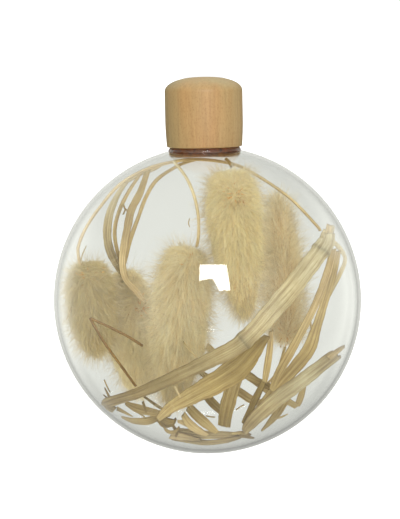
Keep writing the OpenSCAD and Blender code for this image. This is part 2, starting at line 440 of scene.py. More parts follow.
def stretched(nodes, scale=(1, 1, 1)):
    """The object's own coordinates, scaled along each axis."""
    coord = node(nodes, "TexCoord")
    stretch = node(nodes, "Mapping")
    stretch.inputs["Scale"].default_value = scale
    link(coord.outputs["Object"], stretch.inputs["Vector"])
    return stretch.outputs[0]


WHITE = (1, 1, 1, 1)


def wood_material():
    """Fine upright grain, pores, broad warm and cool bands, painted shade on both sides, deepest on the
    left, and a paler top that is a painted highlight.
    """
    mat, nodes = nodes_of("turned_wood")
    upright = stretched(nodes, (1, 1, 0.06))
    banded = stretched(nodes, (1, 1, 0.18))
    even = stretched(nodes, (1, 1, 0.6))
    grain, height = noise_ramp(nodes, upright, 1500, 4, 0.3, 0.7, srgb(153, 122, 78), srgb(168, 136, 90))
    bands, _ = noise_ramp(nodes, banded, 190, 2, 0.35, 0.65, (1.0, 0.92, 0.84, 1), (0.95, 1.0, 1.0, 1))
    pores, _ = noise_ramp(nodes, even, 2600, 3, 0.33, 0.5, (0.84, 0.82, 0.78, 1), WHITE)
    split = node(nodes, "SeparateXYZ")
    link(stretched(nodes), split.inputs[0])
    # painted shade across the cap from side to side: darker and greener at the left edge, darker and cooler
    # at the right, as light falls from the front
    painted_side_shade = stops(nodes, ramp_node(nodes, split.outputs[0], -CAP_R, CAP_R, 0, 1), [
        (0.0, (0.74, 0.82, 0.80, 1)), (0.25, (0.95, 0.97, 0.92, 1)), (0.5, (1.0, 0.96, 0.92, 1)),
        (0.75, (0.97, 1.0, 1.0, 1)), (1.0, (0.88, 1.04, 1.15, 1))])
    # painted highlight: the top of the cap is whitened and cooled towards the crown, standing in for light
    # from above
    crown = stops(nodes, ramp_node(nodes, split.outputs[2], cap_lo.z, cap_hi.z, 0, 1), [
        (0.80, WHITE), (0.95, (1.15, 1.29, 1.36, 1)), (1.0, (1.25, 1.46, 1.58, 1))])
    colour = multiply(nodes, grain, bands, pores, painted_side_shade, crown)
    paint = node(nodes, "BsdfPrincipled", **{"Roughness": 0.46, "Specular IOR Level": 0.5})
    link(colour, paint.inputs["Base Color"])
    link(bump_of(nodes, height, 0.15, 0.00008), paint.inputs["Normal"])
    output(nodes, paint.outputs[0])
    return mat


def cork_material():
    mat, nodes = nodes_of("brown_cork")
    even = stretched(nodes)
    flat = stretched(nodes, (1, 1, 3))
    grain, height = noise_ramp(nodes, even, 1100, 4, 0.36, 0.66, srgb(48, 21, 0), srgb(116, 64, 0))
    bands, _ = noise_ramp(nodes, flat, 500, 2, 0.4, 0.6, (1.0, 0.72, 0.55, 1), WHITE)
    paint = node(nodes, "BsdfPrincipled", **{"Roughness": 0.45})
    link(multiply(nodes, grain, bands), paint.inputs["Base Color"])
    link(bump_of(nodes, height, 0.4, 0.0001), paint.inputs["Normal"])
    output(nodes, paint.outputs[0])
    return mat


def make_stopper():
    foot_r = CAP_R * 0.97
    edge = 0.35 * MM
    foot_h, crown_h = 7.2 * MM, 3.6 * MM
    socket_h = plug_hi.z - cap_lo.z
    z0 = cap_lo.z
    crown = []
    for i in range(40):
        a = math.radians(90 - 90 * i / 40)
        crown.append((CAP_R * math.sin(a) ** 0.8, z0 + CAP_H - crown_h + crown_h * math.cos(a)))
    side = [(foot_r + (CAP_R - foot_r) * math.sin(math.pi / 2 * i / 8), z0 + edge + (foot_h - edge) * i / 8)
            for i in range(9)]
    profile = (
        [(0, z0 + socket_h), (PLUG_R, z0 + socket_h), (PLUG_R, z0)]
        + arc(foot_r - edge, z0 + edge, edge, -90, 0, 6) + side[1:]
        + [(CAP_R, z0 + foot_h + 0.3 * MM + i * 0.7 * MM) for i in range(10)]
        + crown + [(0, z0 + CAP_H)]
    )
    points, quads = lathe(profile, 160)
    cap = mesh_piece("cap", points, quads, mat=wood_material())
    tidy_mesh(cap)
    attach(cap, "stopper")
    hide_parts("wood_cap")

    # the cork is pressed in and its shoulder rests on the lip, so it shows right across the lip
    chamfer = 0.2 * MM
    bite = 0.04 * MM
    slack = 0.02 * MM
    pressed_r = BORE_R + bite
    shoulder_r = LIP_R - 0.55 * MM
    shoulder_top = z0 - 0.01 * MM
    profile = (
        [(0, plug_lo.z), (pressed_r - chamfer, plug_lo.z)]
        + arc(pressed_r - chamfer, plug_lo.z + chamfer, chamfer, -90, 0, 6)
        + [(pressed_r, MOUTH_Z - bite), (shoulder_r, MOUTH_Z - bite), (shoulder_r, shoulder_top),
           (PLUG_R - slack, shoulder_top), (PLUG_R - slack, plug_hi.z - slack), (0, plug_hi.z - slack)]
    )
    points, quads = lathe(profile, 128)
    plug = mesh_piece("plug", points, quads, mat=cork_material())
    tidy_mesh(plug)
    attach(plug, "stopper")
    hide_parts("cork_plug")


# ---- blades: hairs, flecks and fibres as thin tapered ribbons ----


def at(p):
    """A point given in millimetres from the ball's centre."""
    return np.asarray(p, dtype=float)[..., :3] * MM + CENTRE


def inside_glass(points, room=0.15):
    """The points, those beyond the glass's inner wall drawn in to it."""
    off = points - CENTRE
    far = np.linalg.norm(off, axis=-1, keepdims=True)
    return CENTRE + off * np.minimum(1, (BALL_R - WALL - room * MM) / np.maximum(far, 1e-9))


def frame_of(axis):
    """Two unit vectors square to axis."""
    e3 = unit(axis)
    e1 = unit(np.cross(e3, [0.3, 1.0, 0.1]))
    return e1, np.cross(e3, e1), e3


BLADE_POINTS = 5
HAIR_WIDTH, WISP_WIDTH, FLECK_WIDTH = 0.08 * MM, 0.065 * MM, 0.28 * MM
HAIR_GLOW = 0.45
# the brightest that a dry hair may be
BRIGHTEST = 0.96
# how many locks there are for each radian along a tail and round it, how far each leans
# as a share of a hair's length, and how far its hairs are drawn together
LOCKS_ALONG, LOCKS_ROUND, LOCK_LEAN, LOCK_PULL = 9, 6.2, 0.10, 0.55


def blades(rng, root, bend, tip, width, tint):
    """Points, faces and values of curved blades, one for each root."""
    count = len(root)
    t = np.linspace(0, 1, BLADE_POINTS)[None, :, None]
    line = root[:, None] * (1 - t) ** 2 + bend[:, None] * 2 * t * (1 - t) + tip[:, None] * t ** 2
    along = unit(np.gradient(line, axis=1))
    side = unit(np.cross(along, unit(rng.normal(0, 1, (count, 1, 3)))))
    half = np.broadcast_to(width, count)[:, None, None] / 2 * (1 - 0.85 * t ** 1.5)
    points = inside_glass(np.stack([line - side * half, line + side * half], axis=2)).reshape(-1, 3)
    first = (np.arange(count) * BLADE_POINTS * 2)[:, None]
    step = np.arange(BLADE_POINTS - 1) * 2
    quads = np.stack([first + step, first + step + 1, first + step + 3, first + step + 2], axis=-1)
    values = {
        "along": np.repeat(np.tile(np.linspace(0, 1, BLADE_POINTS), count), 2),
        "tint": np.repeat(np.broadcast_to(tint, (count, 3)), BLADE_POINTS * 2, axis=0),
    }
    return points, quads.reshape(-1, 4), values


def joined(*sets):
    """Several sets of points, faces and values as one."""
    points, quads, values, start = [], [], {}, 0
    for p, q, v in sets:
        points.append(p)
        quads.append(q + start)
        start += len(p)
        for key, data in v.items():
            values.setdefault(key, []).append(data)
    return np.concatenate(points), np.concatenate(quads), {k: np.concatenate(v) for k, v in values.items()}


# ---- bunny tails ----


def lit_through(nodes, paint, colour, share):
    """Paint that lets a share of the light through, in the same colour, joined to the output."""
    thin = node(nodes, "BsdfTranslucent")
    link(colour, thin.inputs["Color"])
    both = node(nodes, "MixShader")
    both.inputs[0].default_value = share
    link(paint.outputs[0], both.inputs[1])
    link(thin.outputs[0], both.inputs[2])
    output(nodes, both.outputs[0])


def hair_material():
    """Fine dry hairs: their tints, in which two tails carry painted shade and painted light, duller at the
    root, and light through them.
    """
    mat, nodes = nodes_of("grass_hair")
    along = node(nodes, "Attribute", attribute_name="along")
    tint = node(nodes, "Attribute", attribute_name="tint")
    ramp = node(nodes, "ValToRGB")
    first, last = ramp.color_ramp.elements
    first.position, last.position = 0.0, 0.6
    first.color, last.color = (0.95, 0.92, 0.86, 1), WHITE
    link(along.outputs["Fac"], ramp.inputs[0])
    patch, _ = noise_ramp(nodes, stretched(nodes), 260, 3, 0.35, 0.65,
                          (1.0, 0.97, 0.92, 1), WHITE)
    colour = multiply(nodes, tint.outputs["Color"], ramp.outputs[0], patch)
    paint = node(nodes, "BsdfPrincipled", **{
        "Roughness": 0.65, "Specular IOR Level": 0.2, "Sheen Weight": 0.1})
    link(colour, paint.inputs["Base Color"])
    lit_through(nodes, paint, colour, HAIR_GLOW)
    return mat


def core_material():
    mat, nodes = nodes_of("grass_core")
    even = stretched(nodes)
    colour, height = noise_ramp(nodes, even, 700, 4, 0.35, 0.7, srgb(186, 152, 92), srgb(226, 200, 146))
    paint = node(nodes, "BsdfPrincipled", **{"Roughness": 0.8})
    link(colour, paint.inputs["Base Color"])
    link(bump_of(nodes, height, 0.5, 0.0002), paint.inputs["Normal"])
    output(nodes, paint.outputs[0])
    return mat


def body_points(a, phi, start, end, radius, blunt=0.75, taper=0.0):
    """Points and normals on a tail's egg, from angles along (0 to pi) and round it."""
    e1, e2, e3 = frame_of(end - start)
    half = np.linalg.norm(end - start) / 2
    round_ = np.cos(phi)[:, None] * e1 + np.sin(phi)[:, None] * e2
    swell = np.sin(a) ** np.where(a < math.pi / 2, blunt, 0.8) * (1 - taper * ((1 - np.cos(a)) / 2) ** 2)
    lumps = 0.06 * np.sin(2 * phi + 5 * a) * np.sin(3 * a + 1.7) + 0.03 * np.sin(5 * phi - 4 * a)
    swell = swell * (1 + lumps)
    spot = (start + end) / 2 + e3 * (-np.cos(a) * half)[:, None] + round_ * (radius * swell)[:, None]
    normal = unit(round_ * (np.sin(a) / radius)[:, None] - e3 * (np.cos(a) / half)[:, None])
    return spot, normal


def in_locks(rng, tip, a, phi, length):
    """The tips drawn together into small locks that each lean their own way, and each hair's lock."""
    count = len(tip)
    cell = (np.floor(a * LOCKS_ALONG + rng.uniform(-0.5, 0.5, count)) * 64
            + np.floor(phi * LOCKS_ROUND + rng.uniform(-0.5, 0.5, count))).astype(int)
    _, cell = np.unique(cell, return_inverse=True)
    cell = cell.ravel()
    size = np.bincount(cell)
    middle = np.stack([np.bincount(cell, tip[:, k]) / size for k in range(3)], axis=1)
    middle = middle + rng.normal(0, LOCK_LEAN, middle.shape) * length
    return tip + (middle[cell] - tip) * LOCK_PULL, cell


def below_white(tint):
    """The tints, those too bright for a real surface dimmed without a change of hue."""
    return tint / np.maximum(tint.max(axis=1, keepdims=True) / BRIGHTEST, 1)


def tail_hairs(rng, tail, count):
    """Hairs that flow over a tail's egg from its pole to its tip."""
    start, end, pole = at(tail["start"]), at(tail["end"]), at(tail["pole"])
    radius, length, lift = tail["radius"] * MM, tail["length"] * MM, tail["lift"] * MM
    a = np.arccos(1 - 2 * rng.random(count))
    # the hair thins out at the tip
    a = np.where((a > 2.1) & (rng.random(count) < 0.5), a * 0.75, a)
    phi = rng.random(count) * 2 * math.pi
    depth = rng.random(count) ** 1.3
    spot, normal = body_points(a, phi, start, end, radius * 0.9, tail["blunt"], tail["taper"])
    spot = spot - normal * (depth * 0.4 * radius)[:, None]
    away = unit(spot - pole)
    near = np.exp(-np.linalg.norm(spot - pole, axis=1) / (0.9 * radius))[:, None]
    onward = unit(end - spot + (end - start) * 0.25)
    flow = away * (0.35 + near) + onward * (1 - 0.6 * near) + rng.normal(0, tail["stray"], (count, 3))
    flow = unit(flow - normal * (flow * normal).sum(1, keepdims=True))
    wild = rng.random(count) < 0.15
    # the tip ends in a fringe of longer hairs
    hang = np.clip((a - 1.9) / 1.1, 0, 1) * (rng.random(count) < 0.5)
    span = length * rng.uniform(0.5, 1.15, count) * np.where(wild, 1.35, 1) * (1 + 0.45 * hang)
    rise = lift * rng.uniform(0.0, 1.0, count) * (1 - 0.6 * depth)
    rise = rise * np.where(wild, 2.6, 1) * (1 + 0.5 * hang)
    root = spot - flow * (0.5 * span)[:, None] - normal * (0.16 * radius)
    bend = spot - flow * (0.02 * span)[:, None] + normal * (rise * 0.1)[:, None]
    tip = spot + flow * (0.5 * span)[:, None] + normal * rise[:, None]
    tip = tip + rng.normal(0, 0.06, (count, 3)) * length
    # patches lean a little together, as tufts do
    tuft = np.sin(spot * (900, 1100, 1000) + (0.3, 1.7, 4.1)).sum(1)[:, None] * 0.07 * length
    tip, lock = in_locks(rng, tip + np.cross(normal, flow) * tuft, a, phi, length)
    tint = np.array(srgb(*tail["tint"])[:3]) * rng.uniform(0.9, 1.06, (count, 1))
    tint = tint * (1 - 0.12 * rng.random((count, 1)) * (0, 0.3, 1))
    # locks of warmer hair run down the tail, and the hair beneath is warmer too
    locks = np.sin(phi * 11 + 2 * np.sin(a * 3)) + np.sin(phi * 23 + 1.5 * np.sin(a * 5) + 1)
    locks = np.clip(locks, 0, 2) / 2
    warm = (locks ** 1.5 * 0.6 + depth ** 2 * 0.5)[:, None] * tail.get("warm", 1)
    tint = tint * (1 - warm * (0.10, 0.22, 0.42)) * rng.uniform(0.94, 1.08, lock.max() + 1)[lock, None]
    return blades(rng, root, bend, tip, HAIR_WIDTH * rng.uniform(0.7, 1.3, count), below_white(tint))


def tail_flecks(rng, tail, count):
    """Short brown bristles round the pole, where the hairs part."""
    pole = at(tail["pole"])
    middle = (at(tail["start"]) + at(tail["end"])) / 2
    inward = unit(middle + (pole - middle) * (0, 0, 1) - pole)
    e1, e2, _ = frame_of(inward)
    turn = rng.random(count) * 2 * math.pi
    reach = np.abs(rng.normal(0, 1.6, count)) * MM + 0.4 * MM
    out = np.cos(turn)[:, None] * e1 + np.sin(turn)[:, None] * e2
    root = pole + out * reach[:, None] + inward * (0.2 * MM + reach[:, None] * 0.25)
    length = rng.uniform(0.5, 1.3, count)[:, None] * MM
    tip = root + unit(out - inward * 0.5 + rng.normal(0, 0.4, (count, 3))) * length
    tint = np.array(srgb(226, 180, 104)[:3]) * rng.uniform(0.65, 1.15, (count, 1))
    return blades(rng, root, (root + tip) / 2, tip, FLECK_WIDTH, tint)


def tail_wisps(rng, tail, count):
    """A few long loose hairs that stand off the silhouette."""
    start, end = at(tail["start"]), at(tail["end"])
    radius = tail["radius"] * MM
    a = np.arccos(1 - 2 * rng.random(count))
    spot, normal = body_points(
        a, rng.random(count) * 2 * math.pi, start, end, radius * 0.9, tail["blunt"], tail["taper"])
    lean = normal + unit(end - start) * rng.uniform(-0.3, 1.2, (count, 1))
    lean = unit(lean + rng.normal(0, 0.3, (count, 3)))
    length = tail["length"] * rng.uniform(0.3, 1.0, count)[:, None] * MM
    tip = spot + lean * length
    bend = (spot + tip) / 2 + rng.normal(0, 0.10, (count, 3)) * length
    tint = np.array(srgb(232, 219, 180)[:3]) * rng.uniform(0.7, 1.1, (count, 1))
    return blades(rng, spot, bend, tip, WISP_WIDTH, below_white(tint))


def tail_core(name, tail, rng, mat):
    start, end = at(tail["start"]), at(tail["end"])
    rings, sides = 40, 28
    a = np.repeat(np.linspace(0.04, math.pi - 0.04, rings), sides)
    phi = np.tile(np.arange(sides) * 2 * math.pi / sides, rings)
    spot, normal = body_points(a, phi, start, end, tail["radius"] * 0.6 * MM)
    spot = (start + end) / 2 + (spot - (start + end) / 2) * 0.84
    spot = spot + normal * (rng.random(len(spot)) * 0.25 * MM)[:, None]
    heart = mesh_piece("core_" + name, spot, ring_faces(rings, sides), mat=mat)
    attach(heart, "ball")


TAILS = {
    "right_front": dict(
        start=(6.2, -10.5, 34.4), end=(9.6, -15, -3.4), radius=8.5, taper=0.42,
        pole=(7.4, -18.2, 28), blunt=0.42, hairs=34000, length=5,
        lift=1.3, stray=0.36, flecks=40, wisps=5000, tint=(253, 248, 212)),
    "right_back": dict(
        start=(20.8, 7.5, -12.5), end=(18.8, 9.5, 26), radius=6, taper=0.25,
        pole=(20.3, 4, -10), blunt=0.4, hairs=9000, length=6.5,
        lift=3, stray=0.34, flecks=40, wisps=4000, warm=1.1, tint=(255, 251, 226)),
    "middle": dict(
        start=(-5.2, -12, 15.4), end=(-9.6, -10.5, -26), radius=8.9, taper=0.2,
        pole=(-3.5, -16, 11.5), blunt=0.62, hairs=34000, length=5,
        lift=1.5, stray=0.36, flecks=16, wisps=5000, tint=(247, 242, 212)),
    # the left front tail's darker, greyer tint is partly painted shade on the side away from the soft box;
    # the left back tail's tint is as pale as a hair may be and less warm, painted light against the shade
    # it sits in between its neighbours
    "left_front": dict(
        start=(-31, -3, 11.2), end=(-28.8, -3, -14), radius=7.5, taper=0.1,
        pole=(-31, -9, 7.6), blunt=0.6, hairs=22000, length=5,
        lift=1, stray=0.36, flecks=16, wisps=3000, warm=0.8, tint=(226, 215, 164)),
    "left_back": dict(
        start=(-22, 7.8, 7.8), end=(-18.2, 7.8, -25.8), radius=7.9, taper=0.2,
        pole=(-17.2, 0.8, -1.8), blunt=0.6, hairs=24000, length=6,
        lift=1.5, stray=0.36, flecks=40, wisps=1800, warm=0.15, tint=(255, 249, 217)),
}


def make_tails():
    hair, core = hair_material(), core_material()
    for seed, (name, tail) in enumerate(TAILS.items(), 1):
        rng = np.random.default_rng(seed)
        count = tail["hairs"]
        points, quads, values = joined(
            tail_hairs(rng, tail, count),
            tail_flecks(rng, tail, tail["flecks"]),
            tail_wisps(rng, tail, tail["wisps"]))
        fluff = mesh_piece("fluff_" + name, points, quads, values=values, mat=hair)
        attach(fluff, "ball")
        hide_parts("tail_" + name)
        tail_core(name, tail, rng, core)


# ---- straws, leaves and stems ----


def on_route(route, count):
    """Points and widths at even steps along a smooth curve through a route."""
    route = np.asarray(route, dtype=float)
    last = len(route) - 1
    u = np.linspace(0, last, 400)
    i = np.minimum(u.astype(int), last - 1)
    t = (u - i)[:, None]
    a, b = route[np.maximum(i - 1, 0)], route[i]
    c, d = route[i + 1], route[np.minimum(i + 2, last)]
    line = (2 * b + (c - a) * t + (2 * a - 5 * b + 4 * c - d) * t ** 2
            + (3 * b - a - 3 * c + d) * t ** 3) / 2
    reach = np.concatenate([[0], np.cumsum(np.linalg.norm(np.diff(line[:, :3], axis=0), axis=1))])
    even = np.linspace(0, reach[-1], count)
    line = np.stack([np.interp(even, reach, line[:, k]) for k in range(line.shape[1])], axis=1)
    return line, reach[-1]


def straw_material(name, glow):
    """Long fibres in the strip's tint, which carries painted shade as well as its own colour, pores, and a
    little light through it.
    """
    mat, nodes = nodes_of(name)
    fibre = node(nodes, "Attribute", attribute_name="fibre")
    tint = node(nodes, "Attribute", attribute_name="tint")
    streak, height = noise_ramp(nodes, fibre.outputs["Vector"], 1.0, 4, 0.34, 0.66,
                                (0.62, 0.54, 0.42, 1), (1.12, 1.12, 1.12, 1))
    blotch, _ = noise_ramp(nodes, stretched(nodes), 420, 4, 0.3, 0.6,
                           (0.90, 0.86, 0.80, 1), (1.02, 1.02, 1.02, 1))
    colour = multiply(nodes, tint.outputs["Color"], streak, blotch)
    paint = node(nodes, "BsdfPrincipled", **{"Roughness": 0.5, "Specular IOR Level": 0.35})
    link(colour, paint.inputs["Base Color"])
    link(bump_of(nodes, height, 0.55, 0.00015), paint.inputs["Normal"])
    lit_through(nodes, paint, colour, glow)
    return mat


FRONT = np.array([0.0, -1.0, 0.0])


def end_faces(points, centre, along, sides):
    """A hub set in a little at each end, so that the ends look cut and hollow."""
    rings = len(centre)
    tris, extra = [], []
    for end, inward in ((0, 1), (rings - 1, -1)):
        hub = len(points) + len(extra)
        extra.append(points[end * sides:(end + 1) * sides].mean(0) + along[end] * inward * 0.5 * MM)
        for j in range(sides):
            p, q = end * sides + j, end * sides + (j + 1) % sides
            tris.append((hub, q, p) if end == 0 else (hub, p, q))
    return np.concatenate([points, extra]), tris


def strip(name, mat, slot, seed, route, tint, thick=0.35, gutter=0.12, ribs=3, rib=0.08, knots=(),
          slant=0.4, sides=36, twist=0.0, replaces=None):
    """A straw or leaf along a route of (x, y, z, width) in millimetres from the ball's centre.

    gutter bows it across its width, ribs run along it, twist turns it by degrees from end to end,
    and slant is how obliquely its ends are cut."""
    rng = np.random.default_rng(seed)
    _, length = on_route(route, 10)
    rings = max(14, int(length / 0.45))
    line, length = on_route(route, rings)
    centre, width = at(line), line[:, 3] * MM
    along = unit(np.gradient(centre, axis=0))
    side = unit(np.cross(along, FRONT))
    out = np.cross(side, along)
    v = np.linspace(0, length, rings)
    turn = np.radians(twist) * (v / length - 0.5) + 0.10 * np.sin(v * 0.35 + rng.random() * 6.3)
    side, out = (side * np.cos(turn)[:, None] + out * np.sin(turn)[:, None],
                 out * np.cos(turn)[:, None] - side * np.sin(turn)[:, None])
    a = np.arange(sides) * 2 * math.pi / sides
    wave = sum(0.025 * np.sin(v * n * 0.9 + rng.random() * 6.3) / n for n in (1, 2, 3))
    half_w = width / 2 * (1 + wave)
    half_t = np.minimum(thick * MM / 2, half_w * 0.9)
    for knot in knots:
        swell = np.exp(-((v / length - knot) * length / 0.7) ** 2)
        half_w = half_w * (1 + 0.09 * swell)
        half_t = half_t * (1 + 0.12 * swell)
    flat = np.sign(np.cos(a)) * np.abs(np.cos(a)) ** 0.85
    phase = rng.random() * 6.3
    drift = 0.7 * np.sin(v * 0.12 + phase)[:, None]
    ridge = rib * np.cos(flat[None, :] * math.pi * ribs + phase + drift) + rib * 0.5 * np.cos(
        flat[None, :] * math.pi * ribs * 2.3 + phase * 2 - drift)
    across = flat[None, :] * half_w[:, None] * (1 + 0.012 * rng.normal(0, 1, (rings, 1)))
    up = np.sin(a)[None, :]
    ribbed = np.abs(up) ** 0.3 * ridge * half_w[:, None] * np.sign(up) * min(1, thick)
    deep = up * half_t[:, None] + ribbed + gutter * flat[None, :] ** 2 * half_w[:, None]
    shift = slant * across * (np.exp(-v / 1.2) - np.exp(-(length - v) / 1.2))[:, None]
    points = (centre[:, None] + side[:, None] * across[..., None] + out[:, None] * deep[..., None]
              + along[:, None] * shift[..., None])
    points, tris = end_faces(points.reshape(-1, 3), centre, along, sides)
    points = inside_glass(points)
    fibre = np.stack([
        flat[None, :] * width[:, None] / MM * 2.6 + seed * 3.7,
        np.sign(up) * 3 + np.zeros((rings, 1)),
        v[:, None] * 0.10 + np.zeros((1, sides)),
    ], axis=-1).reshape(-1, 3)
    shades = np.array([srgb(*c)[:3] for c in tint])
    where = v / length * (len(shades) - 1)
    mixed = np.stack([np.interp(where, np.arange(len(shades)), shades[:, c]) for c in range(3)], axis=1)
    tone = 1 + 0.06 * np.sin(v * 0.5 + rng.random() * 6)
    for knot in knots:
        tone = tone - 0.28 * np.exp(-((v / length - knot) * length / 0.28) ** 2)
        tone = tone - 0.15 * np.exp(-((v / length - knot) * length / 1.2) ** 2)
    # painted shade: darker along the edges, where the strip turns away, and down the creases between the
    # ribs
    crease_shade_mask = np.clip(-ridge / max(rib, 0.01), 0, 1) ** 2
    painted_crease_shade = (1 - 0.28 * np.abs(flat) ** 14)[None, :] * (1 - 0.30 * crease_shade_mask)
    mixed = (mixed * tone[:, None])[:, None] * painted_crease_shade[..., None] ** (0.8, 1.0, 1.25)
    mixed = mixed.reshape(-1, 3)
    values = {
        "fibre": np.concatenate([fibre, fibre[:1], fibre[-1:]]),
        # the hubs of the cut ends are painted shade, about a third as bright as the strip, so the ends look
        # hollow
        "tint": np.concatenate([mixed, mixed[:1] * 0.35, mixed[-1:] * 0.35]),
    }
    made = mesh_piece(name, points, ring_faces(rings, sides), tris, values, mat)
    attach(made, "ball")
    if replaces:
        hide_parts(replaces)


PALE = (228, 219, 180)
STRAW = (212, 192, 142)
GOLD = (198, 178, 121)
DULL = (168, 150, 104)
DARK = (166, 146, 85)
DEEP = (138, 117, 64)
BROWN = (132, 100, 34)

